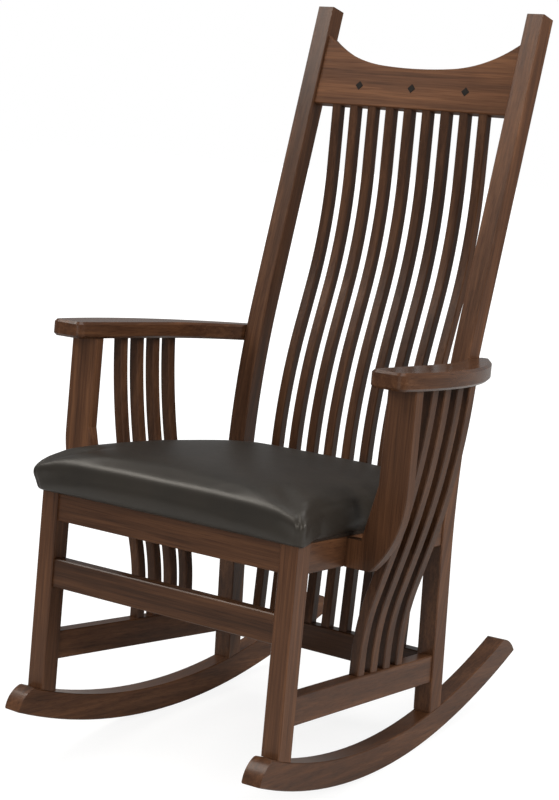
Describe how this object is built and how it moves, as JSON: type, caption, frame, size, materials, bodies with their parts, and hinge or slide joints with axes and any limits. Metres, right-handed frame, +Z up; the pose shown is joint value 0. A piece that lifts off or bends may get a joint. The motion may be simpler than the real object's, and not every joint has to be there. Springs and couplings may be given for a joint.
{
  "type": "rocking chair",
  "caption": "Mission style rocking chair with a tall back of bent slats, slatted sides, flat bowed arms, a leather cushion seat and curved runners.",
  "frame": {"origin": "on the floor midway between the two runners, at the line where they touch the floor at rest", "axes": "+X to the right seen from the front, -Y towards the front of the seat, +Z up"},
  "size_m": [0.701, 0.8089, 1.1674],
  "materials": {
    "stained_wood": "satin",
    "leather": "satin",
    "foam": "matte",
    "plywood": "matte",
    "plain_wood": "matte",
    "dowel": "matte",
    "inlay": "satin"
  },
  "bodies": {
    "root": {"arm_dowels": "dowel", "back_slat_1": "stained_wood", "back_slat_2": "stained_wood", "back_slat_3": "stained_wood", "back_slat_4": "stained_wood", "back_slat_5": "stained_wood", "back_slat_6": "stained_wood", "back_slat_7": "stained_wood", "back_slat_8": "stained_wood", "back_slat_9": "stained_wood", "corner_blocks": "plain_wood", "crest_inlays": "inlay", "crest_rail": "stained_wood", "front_seat_rail": "stained_wood", "front_stretcher": "stained_wood", "left_arm": "stained_wood", "left_arm_support": "stained_wood", "left_back_post": "stained_wood", "left_front_leg": "stained_wood", "left_runner": "stained_wood", "left_side_rail": "stained_wood", "left_side_slat_1": "stained_wood", "left_side_slat_2": "stained_wood", "left_side_slat_3": "stained_wood", "left_side_slat_4": "stained_wood", "left_side_stretcher": "stained_wood", "rear_seat_rail": "stained_wood", "rear_stretcher": "stained_wood", "right_arm": "stained_wood", "right_arm_support": "stained_wood", "right_back_post": "stained_wood", "right_front_leg": "stained_wood", "right_runner": "stained_wood", "right_side_rail": "stained_wood", "right_side_slat_1": "stained_wood", "right_side_slat_2": "stained_wood", "right_side_slat_3": "stained_wood", "right_side_slat_4": "stained_wood", "right_side_stretcher": "stained_wood", "seat_board": "plywood", "seat_cover": "leather", "seat_foam": "foam"}
  },
  "joints": []
}
